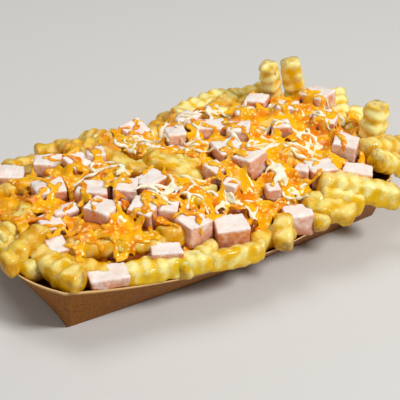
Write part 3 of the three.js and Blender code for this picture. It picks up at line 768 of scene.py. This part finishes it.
POTATO_PALE = tone(255, 242, 160)
POTATO_GOLD = tone(240, 192, 14)
POTATO_DEEP = tone(216, 146, 0)
# Deeper gold for faces turned away from the camera: painted shade.
POTATO_EDGE_SHADE = tone(212, 156, 0)
POTATO_BROWN = tone(140, 80, 18)
POTATO_GLAZE = tone(232, 132, 2)
POTATO_EYE = tone(112, 62, 20)

potato, tree, shader = new_material("fried_potato")
place = own_place(tree)
blotch, grain = add_mottle(tree, 210.0, 1500.0)
mottled = calculate(tree, "ADD", around_zero(tree, blotch, 1.5), around_zero(tree, grain, 0.7))
# The pale colour on crests, tops and standing fries is painted highlight; the mottle added to it is the
# fry's own unevenness.
crest_highlight = calculate(tree, "ADD", read_shade(tree, "crest_highlight"), mottled)
tint = read_shade(tree, "tone")
highlight_colour = blend(tree, tint, POTATO_PALE, POTATO_GOLD, 0.75)
valley_colour = blend(tree, tint, POTATO_GOLD, POTATO_DEEP, 0.8)
colour = blend(tree, step_up(tree, crest_highlight, 0.3, 0.95), valley_colour, highlight_colour)
# Painted shade: faces turned away from the camera take a deeper gold, as the fry's shaded sides look.
facing = add_node(tree, "ShaderNodeLayerWeight", {"Blend": 0.35}).outputs["Facing"]
edge_shade_share = calculate(tree, "ADD", calculate(tree, "MULTIPLY", tint, 0.4), 0.35)
painted_edge_shade = calculate(tree, "MULTIPLY", step_up(tree, facing, 0.2, 0.75), edge_shade_share)
colour = blend(tree, painted_edge_shade, colour, POTATO_EDGE_SHADE)
runs = add_node(
    tree, "ShaderNodeTexNoise", {"Vector": place, "Scale": 62.0, "Detail": 3.0, "Distortion": 0.8}
).outputs["Fac"]
glazed = calculate(tree, "MULTIPLY", step_up(tree, runs, 0.47, 0.6), read_shade(tree, "glaze"))
colour = blend(tree, glazed, colour, POTATO_GLAZE, 0.8)
browned = calculate(tree, "MULTIPLY", read_shade(tree, "browned"), step_up(tree, blotch, 0.4, 0.65))
colour = blend(tree, browned, colour, POTATO_BROWN, 0.7)
eyes = strewn_dots(tree, place, 85.0, 0.045, 0.1)
eyes = calculate(tree, "MULTIPLY", eyes, step_up(tree, blotch, 0.45, 0.55))
set_inputs(tree, shader, {
    "Base Color": blend(tree, eyes, colour, POTATO_EYE),
    "Roughness": 0.36,
    "Specular IOR Level": 0.1,
    "Coat Weight": 0.4,
    "Coat Roughness": 0.1,
    "Subsurface Weight": 0.25,
    "Subsurface Radius": (1.0, 0.6, 0.2),
    "Subsurface Scale": 2.2 * MM,
    "Normal": relief(tree, 0.45, 0.7, blotch, grain, 0.4),
})

laid_fries = [lay_fry(fry) for fry in filler_fries() + FRIES]
fry_points, faces, shades = join_fries(laid_fries)
make_piece("crinkle_fries", fry_points, faces, shades, potato, "potato", "fries_heap")

# Buried fries
# More fries lie under those that show, in oil, coloured darker and browner as painted shade, and below them
# the heap is closed by a crust of potato, dark with the same painted shade, that keeps clear of the board.
UNDER_COLUMNS = 7
UNDER_ROWS = 4
UNDER_SERIES = 900
UNDER_STRIDE = 12
UNDER_PITCH = (15.0, 13.0)
UNDER_JITTER = 0.7
UNDER_REACH = 0.2
UNDER_THICK = 10.5
UNDER_LONG = 34.0
UNDER_SHORT = 18.0
SHORT_FROM = 0.4
SLOPE_HALF = 8
UNDER_DROP = 5.5
UNDER_SPREAD = 4
UNDER_CLEAR = 6.5

under_fries = []
for i in range(-UNDER_COLUMNS, UNDER_COLUMNS + 1):
    for j in range(-UNDER_ROWS, UNDER_ROWS + 1):
        k = UNDER_SERIES + (i + UNDER_COLUMNS) * UNDER_STRIDE + j
        x, y = jittered(i, j, k, UNDER_PITCH, UNDER_JITTER)
        if wall_share(np.array(x), np.array(y)) < UNDER_REACH:
            yaw = 180 * draw(k, 7)
            cos, sin = direction(yaw)
            ends = np.array((-0.5, 0, 0.5)) * UNDER_LONG
            share = float(wall_share(x + ends * cos, y + ends * sin).max())
            ahead = core_top(x + SLOPE_HALF * cos, y + SLOPE_HALF * sin)
            behind = core_top(x - SLOPE_HALF * cos, y - SLOPE_HALF * sin)
            lowest = CORNER_HEIGHT * min(share, 0.6) + UNDER_CLEAR
            drawn = float(core_top(x, y)) - UNDER_DROP + UNDER_SPREAD * draw(k, 8)
            under_fries.append({
                "at": (x, y),
                "yaw": yaw,
                "long": UNDER_LONG if share < SHORT_FROM else UNDER_SHORT,
                "thick": UNDER_THICK,
                "z": max(drawn, lowest),
                "lie": float((ahead - behind) / (2 * SLOPE_HALF)),
            })

# Darker potato colours of the buried fries and the heap's core: painted shade in the gaps.
POTATO_PAINTED_SHADE = tone(186, 104, 8)
POTATO_PAINTED_SHADE_DEEP = tone(116, 50, 4)

buried, tree, shader = new_material("buried_potato")
blotch, grain = add_mottle(tree, 120.0, 900.0)
set_inputs(tree, shader, {
    "Base Color": blend(tree, step_up(tree, blotch, 0.35, 0.7), POTATO_PAINTED_SHADE_DEEP, POTATO_PAINTED_SHADE),
    "Roughness": 0.3,
    "Specular IOR Level": 0.1,
    "Coat Weight": 0.4,
    "Coat Roughness": 0.12,
    "Normal": relief(tree, 0.5, 0.7, blotch, grain, 0.4),
})

under_points, faces, shades = join_fries(under_fries, sides=16, ring_step=1.6, first=300)
make_piece("buried_fries", under_points, faces, shades, buried, "potato", "fries_heap")

# The core is a dark sheet under the fries, in the same painted-shade material as the buried fries.
CORE_INSET = 0.8
CORE_FLOOR = 0.4
CORE_DROP = 9.0
CORE_WALL_TOP = 0.62
CORE_UNEVEN = 0.7
CORE_LUMP = 12.0

foot_ring = tray_ring(0.0, BOARD + CORE_INSET)
foot_ring[:, 2] = BOARD + CORE_FLOOR
rings = [foot_ring * (share, share, 1) for share in np.linspace(0.1, 1, num=8)]
for height in np.linspace(0.1, CORE_WALL_TOP, num=6):
    rings.append(tray_ring(height, BOARD + CORE_INSET))
edge_ring = rings[-1]
for share in np.linspace(1, 0.02, num=40)[1:]:
    ring = edge_ring * (share, share, 1)
    x, y = ring[:, 0], ring[:, 1]
    ring[:, 2] = np.maximum(core_top(x, y) - CORE_DROP, wall_share(x, y) * rim_height(x, y) + CORE_INSET)
    rings.append(ring)
core_points = np.concatenate(rings)
over_base = wall_share(core_points[:, 0], core_points[:, 1]) < -0.3
uneven = CORE_UNEVEN * (over_base * lumps(core_points, CORE_LUMP, 5))
core_points[:, 2] = np.maximum(core_points[:, 2] + uneven, BOARD + CORE_FLOOR)
make_piece("heap_core", core_points, capped_tube(len(rings), around), {}, buried, "potato", "fries_heap")

# Ham dice
# Cooked ham cut into dice of 8 to 20 mm: pale pink cut faces with a fine grain, and faces that were
# the outside of the slice, browned and glazed. They rest on the fries, tipped a little.
WELD_REACH = 0.01
HAM_SWELL = 0.25
HAM_LUMPS = ((0.35, 13.0, 60), (0.1, 3.5, 61))
CRUST_DOWN = -0.25
CRUSTED_SHARE = 0.7
LOW_REACH = 8

HAM_PALE = tone(255, 244, 236)
HAM_PINK = tone(250, 226, 212)
HAM_FAT = tone(255, 246, 238)
# Salmon colour of the side faces: painted shade.
HAM_SIDE_SHADE = tone(226, 136, 78)
HAM_GLAZE = tone(214, 120, 66)
# Red-brown low on the side faces: painted shade, partly cheese glaze.
HAM_LOW_SHADE = tone(150, 60, 30)

ham_meat, tree, shader = new_material("ham_meat")
blotch, grain = add_mottle(tree, 190.0, 1300.0)
colour = blend(tree, step_up(tree, blotch, 0.35, 0.7), HAM_PALE, HAM_PINK)
colour = blend(tree, step_up(tree, grain, 0.56, 0.72), colour, HAM_FAT)
crust = calculate(tree, "ADD", read_shade(tree, "crust"), around_zero(tree, blotch, 1.2))
colour = blend(tree, step_up(tree, crust, 0.4, 0.9), colour, HAM_GLAZE, 0.9)
# Painted shade: the side faces turn salmon, more where the blotches are strong.
side_shade_share = calculate(tree, "MULTIPLY", read_shade(tree, "flank"), step_up(tree, blotch, 0.15, 0.6))
colour = blend(tree, side_shade_share, colour, HAM_SIDE_SHADE)
set_inputs(tree, shader, {
    # Painted shade, partly cheese glaze: the lower part of the side faces turns red-brown.
    "Base Color": blend(tree, read_shade(tree, "low"), colour, HAM_LOW_SHADE, 0.75),
    "Roughness": 0.38,
    "Coat Weight": 0.3,
    "Coat Roughness": 0.2,
    "Subsurface Weight": 0.25,
    "Subsurface Radius": (1.0, 0.45, 0.3),
    "Subsurface Scale": 1.6 * MM,
    "Normal": relief(tree, 0.4, 0.8, blotch, grain),
})


def melt_together(piece, voxel, rounds):
    """The piece's new mesh: one skin round all that it is made of, in even squares, then smoothed."""
    remesh = piece.modifiers.new("remesh", "REMESH")
    remesh.mode = "VOXEL"
    remesh.voxel_size = voxel * MM
    smooth = piece.modifiers.new("smooth", "SMOOTH")
    smooth.factor = 0.5
    smooth.iterations = rounds
    made = bpy.data.meshes.new_from_object(piece.evaluated_get(bpy.context.evaluated_depsgraph_get()))
    piece.modifiers.clear()
    old, piece.data = piece.data, made
    bpy.data.meshes.remove(old)
    shade_smooth(made)
    return made


def read_points(mesh, name):
    """A mesh's places or normals as an array, one row a point."""
    values = np.zeros(len(mesh.vertices) * 3)
    mesh.vertices.foreach_get(name, values)
    return values.reshape(-1, 3)


ham_points = []
for k, node in enumerate(sorted(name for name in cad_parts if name.startswith("ham_"))):
    piece = add_object(node.replace("ham", "ham_die"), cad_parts[node].data.copy())
    piece.data.materials.clear()
    piece.modifiers.new("weld", "WELD").merge_threshold = WELD_REACH * MM
    mesh = melt_together(piece, voxel=0.65, rounds=2)
    points = read_points(mesh, "co") / MM
    normals = read_points(mesh, "normal")
    middle = (points.min(0) + points.max(0)) / 2
    wobble = layered_lumps(points, HAM_LUMPS, k) + HAM_SWELL
    points = pull_inside(points + normals * wobble[:, None], points[:, 2])
    mesh.vertices.foreach_set("co", (points * MM).ravel())
    turn = 2 * math.pi * draw(k, 51)
    browned_side = np.array((math.cos(turn), math.sin(turn), CRUST_DOWN))
    # Share of painted shade on the faces that turn sideways, drawn for each die.
    flank = np.clip(1 - 1.3 * normals[:, 2], 0, 1) * (0.5 + 0.5 * draw(k, 53))
    write_shades(mesh, {
        "crust": np.clip(normals @ browned_side * 1.6 - 0.9, 0, 1) * (draw(k, 52) < CRUSTED_SHARE),
        "flank": flank,
        # Painted shade, partly cheese glaze: darker towards the bottom of the side faces.
        "low": flank * np.clip((middle[2] - points[:, 2]) / LOW_REACH, 0, 1),
    })
    mesh.update()
    mesh.materials.append(ham_meat)
    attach(piece, "root")
    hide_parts(node)
    ham_points.append(points)

# Melted orange cheese
# Grated orange cheese melted over the heap: streaks and pools a millimetre or two thick that run
# together, hang over the edges of the ham and fill the gaps between fries.
SURFACE_HALF = (135.0, 90.0)
DRAPE_SPAN = 3
POOL_SPAN = 9
POOL_SOFTENING = 8
POOL_LUMPS = ((1.0, 22.0, 8), (0.6, 8.0, 9))
POOL_WAVE = 1.5
POOL_PROUD = 1.5
POOL_DEPTH = 4.4
POOL_MIDDLE = (8.0, -3.0)
POOL_REACH = (112.0, 58.0)
POOL_LIMIT = 1.4
POOL_FALL = 12
POOL_FALL_FROM = 0.8
POOL_UNDER = 1.2
POOL_SUNK = 3
POOL_LOWEST = 15.0
POOL_THICK = 2.2
CLEAN_DROP = 5.0
CLEAN_ROOM = 2


def spread_high(height_map, size):
    """Each cell's highest neighbour within size cells."""
    for axis in (0, 1):
        shifted = [np.roll(height_map, step, axis) for step in range(-size, size + 1)]
        height_map = np.maximum.reduce(shifted)
    return height_map


def close_gaps(height_map, size):
    """The map raised to its highest neighbours, then lowered to its lowest, so that gaps close."""
    return -spread_high(-spread_high(height_map, size), size)


def soften(height_map, rounds):
    """The map after that many passes of a one-two-one blur along both axes."""
    for _ in range(rounds):
        for axis in (0, 1):
            beside = np.roll(height_map, 1, axis) + np.roll(height_map, -1, axis)
            height_map = 0.5 * height_map + 0.25 * beside
    return height_map


def surface_cells(points):
    """Row and column of each point in the one-millimetre maps."""
    return cells(points[:, 0], points[:, 1], SURFACE_HALF, 1.0)


seen = np.concatenate([fry_points, under_points, core_points] + ham_points)
surface = np.zeros((int(2 * SURFACE_HALF[1]) + 1, int(2 * SURFACE_HALF[0]) + 1))
np.maximum.at(surface, surface_cells(seen), seen[:, 2])
surface = close_gaps(surface, 1)
drape = soften(close_gaps(surface, DRAPE_SPAN), 2)
clean_fries = join_fries([fry for fry in laid_fries if fry.get("clean")])[0]
clean_map, ham_map = np.zeros_like(surface), np.zeros_like(surface)
clean_map[surface_cells(clean_fries)] = 1
clean_map *= soften(surface, 1) < surface + CLEAN_ROOM
ham_map[surface_cells(np.concatenate(ham_points))] = 1
grid_x, grid_y = map_grid(SURFACE_HALF, 1.0)
grid = np.stack((grid_x, grid_y, 0 * grid_x), -1).reshape(-1, 3)
wave = layered_lumps(grid, POOL_LUMPS, 0).reshape(surface.shape)
from_middle = np.hypot((grid_x - POOL_MIDDLE[0]) / POOL_REACH[0], (grid_y - POOL_MIDDLE[1]) / POOL_REACH[1])
level = soften(close_gaps(surface, POOL_SPAN), POOL_SOFTENING)
level += POOL_WAVE * wave - POOL_DEPTH * (0.3 + 0.7 * heap_share(grid_x, grid_y))
level = np.minimum(level, heap_top(grid_x, grid_y) + POOL_PROUD + wave)
level -= POOL_FALL * np.clip(from_middle - POOL_FALL_FROM, 0, 1) + CLEAN_DROP * soften(clean_map, 2)
pool = np.maximum(level, soften(surface, 2) - POOL_SUNK)
wet = (level > surface - POOL_UNDER) & (from_middle < POOL_LIMIT) & (surface > POOL_LOWEST)


def sheet_mesh(height_map, covered, thick, start):
    """Points and faces of a closed sheet on a map: a square for each cell whose four corners are
    covered, the same squares turned over thick below, and a wall along each edge of only one square."""
    across = height_map.shape[1]
    top = np.stack((grid_x, grid_y, height_map), -1).reshape(-1, 3)
    squares = np.argwhere(covered[:-1, :-1] & covered[1:, :-1] & covered[:-1, 1:] & covered[1:, 1:])
    corner = squares[:, 0] * across + squares[:, 1]
    quads = np.stack((corner, corner + 1, corner + 1 + across, corner + across), -1)
    used = np.unique(quads)
    order = np.zeros(len(top), int)
    order[used] = np.arange(len(used))
    edges = np.concatenate([quads[:, [side, (side + 1) % 4]] for side in range(4)])
    code = edges.min(1) * len(top) + edges.max(1)
    _, first_at, times = np.unique(code, return_index=True, return_counts=True)
    rim = order[edges[first_at[times == 1]]]
    quads = order[quads]
    sides = np.stack((rim[:, 1], rim[:, 0], rim[:, 0] + len(used), rim[:, 1] + len(used)), -1)
    faces = np.concatenate((quads, quads[:, ::-1] + len(used), sides)) + start
    return np.concatenate((top[used], top[used] - (0, 0, thick))), faces.tolist()


STRAND_RINGS = 22
STRAND_SIDES = 8
STRAND_CURL = 0.2
STRAND_WEAVE = 0.35
STRAND_PINCH = 0.3
STRAND_RISE = 9.0
LOWEST_STRAND = 21.0
MOSTLY_HAM = 0.25
CLEAN_SHARE = 0.15


def height_at(height_map, x, y):
    """Height of a one-millimetre map at points between its cells, blended from the four around each."""
    u = np.clip(x + SURFACE_HALF[0], 0, height_map.shape[1] - 1.001)
    v = np.clip(y + SURFACE_HALF[1], 0, height_map.shape[0] - 1.001)
    i, j = u.astype(int), v.astype(int)
    a, b = u - i, v - j
    low = height_map[j, i] * (1 - a) + height_map[j, i + 1] * a
    high = height_map[j + 1, i] * (1 - a) + height_map[j + 1, i + 1] * a
    return low * (1 - b) + high * b


def scatter_strands(series, count, middle, reach, long, wide, thick, lift, over_ham):
    """Strands draped on the heap: flat oval sections carried along curved paths that follow the
    surface, narrowing at both ends. A strand that would leave the heap or climb a standing fry is
    left out, and so is one that lies mostly on ham, but for the share over_ham of them."""
    k = np.arange(count)[:, None]
    spread, angle = np.sqrt(draw(k, series)), 2 * math.pi * draw(k, series + 1)
    x = middle[0] + reach[0] * spread * np.cos(angle)
    y = middle[1] + reach[1] * spread * np.sin(angle)
    yaw, curl = 2 * math.pi * draw(k, series + 2), STRAND_CURL * (draw(k, series + 3) - 0.5)
    long = long * (0.6 + 0.8 * draw(k, series + 4))
    wide = wide * (0.65 + 0.7 * draw(k, series + 5))
    thick = thick * (0.8 + 0.5 * draw(k, series + 6))
    s = np.linspace(-0.5, 0.5, STRAND_RINGS) * long
    turn = yaw + curl * s + STRAND_WEAVE * np.sin(s * 0.55 + 6 * yaw)
    step = long / (STRAND_RINGS - 1)
    px = x + np.cumsum(np.cos(turn) * step, 1) - 0.5 * long * np.cos(yaw)
    py = y + np.cumsum(np.sin(turn) * step, 1) - 0.5 * long * np.sin(yaw)
    pz = height_at(drape, px, py) + lift
    on_heap = (pz > LOWEST_STRAND).all(1) & (pz < heap_top(px, py) + STRAND_RISE).all(1)
    beside_ham = height_at(ham_map, px, py).mean(1) < MOSTLY_HAM
    off_clean = height_at(clean_map, px, py).mean(1) < CLEAN_SHARE
    kept = on_heap & off_clean & (beside_ham | (draw(k[:, 0], series + 7) < over_ham))
    px, py, pz, s, long, wide, thick = (of_all[kept] for of_all in (px, py, pz, s, long, wide, thick))
    line = np.stack((px, py, pz), -1)
    ahead = np.gradient(line, axis=1)
    ahead /= np.linalg.norm(ahead, axis=-1, keepdims=True)
    slope_x = (height_at(drape, px + 1, py) - height_at(drape, px - 1, py)) / 2
    slope_y = (height_at(drape, px, py + 1) - height_at(drape, px, py - 1)) / 2
    out = np.stack((-slope_x, -slope_y, np.ones_like(px)), -1)
    out -= (out * ahead).sum(-1, keepdims=True) * ahead
    out /= np.linalg.norm(out, axis=-1, keepdims=True)
    side = np.cross(out, ahead)
    narrow = np.sqrt(np.clip(1 - np.abs(2 * s / long) ** 5, 0.02, 1))
    narrow *= 1 + STRAND_PINCH * np.sin(s * 0.9 + 9 * wide)
    angle = 2 * math.pi * np.arange(STRAND_SIDES) / STRAND_SIDES
    across = (wide / 2 * narrow)[..., None, None] * np.cos(angle)[:, None]
    above = (thick / 2 * narrow)[..., None, None] * np.sin(angle)[:, None]
    points = line[:, :, None] + across * side[:, :, None] + above * out[:, :, None]
    size = STRAND_RINGS * STRAND_SIDES
    starts = size * np.arange(len(px))[:, None]
    faces = (tube_faces(STRAND_RINGS, STRAND_SIDES)[None] + starts[:, None]).reshape(-1, 4).tolist()
    first = np.arange(STRAND_SIDES)
    faces += (first[::-1] + starts).tolist() + (first + starts + size - STRAND_SIDES).tolist()
    return points.reshape(-1, 3), faces


ORANGE_STRANDS = {
    "series": 71, "count": 700, "middle": (0.0, -4.0), "reach": (112.0, 52.0),
    "long": 15.0, "wide": 3.4, "thick": 1.7, "lift": 0.1, "over_ham": 0.35,
}

# Pale specks: painted glints, partly grains of cheese.
ORANGE_PALE = tone(255, 228, 120)
ORANGE_YELLOW = tone(252, 185, 10)
ORANGE_DEEP = tone(236, 128, 2)
ORANGE_RED = tone(218, 92, 4)

orange_cheese, tree, shader = new_material("orange_cheese")
blotch, grain = add_mottle(tree, 110.0, 520.0)
colour = blend(tree, step_up(tree, blotch, 0.4, 0.66), ORANGE_YELLOW, ORANGE_DEEP)
colour = blend(tree, step_up(tree, grain, 0.58, 0.78), colour, ORANGE_RED, 0.5)
# Scattered pale specks: painted glints, partly grains of cheese.
glints_and_grains = strewn_dots(tree, own_place(tree), 400.0, 0.2, 0.4)
glints_and_grains = calculate(tree, "MULTIPLY", glints_and_grains, step_up(tree, blotch, 0.36, 0.52))
set_inputs(tree, shader, {
    "Base Color": blend(tree, glints_and_grains, colour, ORANGE_PALE, 0.85),
    "Roughness": 0.24,
    "Specular IOR Level": 0.1,
    "Coat Weight": 0.5,
    "Coat Roughness": 0.08,
    "Subsurface Weight": 0.2,
    "Subsurface Radius": (1.0, 0.5, 0.15),
    "Subsurface Scale": 1.2 * MM,
    "Normal": relief(tree, 0.6, 0.6, blotch, grain, 0.5),
})

points, faces = scatter_strands(**ORANGE_STRANDS)
pool_points, pool_faces = sheet_mesh(pool, wet, POOL_THICK, len(points))
points, faces = np.concatenate((points, pool_points)), faces + pool_faces
melted = make_piece(
    "melted_orange_cheese", points, faces, {}, orange_cheese, "orange_cheese", "fries_heap"
)
melt_together(melted, voxel=0.8, rounds=4)

# White cheese shreds
# Shreds of white cheese, softened but still whole, scattered over the middle and right of the heap.
WHITE_STRANDS = {
    "series": 91, "count": 300, "middle": (20.0, -8.0), "reach": (84.0, 46.0),
    "long": 14.0, "wide": 2.0, "thick": 1.7, "lift": 0.7, "over_ham": 0.15,
}

WHITE_CREAM = tone(255, 248, 224)
WHITE_YELLOW = tone(252, 232, 176)

white_cheese, tree, shader = new_material("white_cheese")
blotch, grain = add_mottle(tree, 150.0, 900.0)
set_inputs(tree, shader, {
    "Base Color": blend(tree, step_up(tree, blotch, 0.4, 0.72), WHITE_CREAM, WHITE_YELLOW),
    "Roughness": 0.34,
    "Coat Weight": 0.3,
    "Coat Roughness": 0.12,
    "Subsurface Weight": 0.3,
    "Subsurface Radius": (1.0, 0.7, 0.4),
    "Subsurface Scale": 1.2 * MM,
    "Normal": relief(tree, 0.2, 0.5, grain),
})

points, faces = scatter_strands(**WHITE_STRANDS)
shreds = make_piece("white_cheese_shreds", points, faces, {}, white_cheese, "white_cheese", "fries_heap")
melt_together(shreds, voxel=0.55, rounds=3)

# Floor and lights
# A plain pale table, a wide soft key light from the front right, a fill from the left and a top light.
TABLE_CORNERS = [(-3, -3, 0), (3, -3, 0), (3, 3, 0), (-3, 3, 0)]
LIT_POINT = Vector((0.0, 0.0, 0.03))
# Name, place and size in metres, and watts of each light
LIGHTS = (
    ("key_light", (0.55, -0.75, 1.0), 0.35, 13.0),
    ("fill_light", (-1.0, -0.5, 0.7), 0.9, 2.2),
    ("top_light", (-0.1, 0.5, 1.1), 0.6, 5.0),
)

floor_colour, tree, shader = new_material("table")
set_inputs(tree, shader, {"Base Color": tone(214, 212, 208), "Roughness": 0.7})
mesh = bpy.data.meshes.new("table")
mesh.from_pydata(TABLE_CORNERS, [], [(0, 1, 2, 3)])
mesh.materials.append(floor_colour)
table = add_object("table", mesh)

for name, place, size, power in LIGHTS:
    light = bpy.data.lights.new(name, "AREA")
    light.size = size
    light.energy = power
    lamp = add_object(name, light)
    lamp.location = place
    lamp.rotation_euler = (LIT_POINT - Vector(place)).to_track_quat("-Z", "Y").to_euler()
world = bpy.data.worlds.new("studio")
world.use_nodes = True
sky = world.node_tree.nodes["Background"]
set_inputs(world.node_tree, sky, {"Color": (1.0, 0.98, 0.95, 1.0), "Strength": 0.16})
scene.world = world
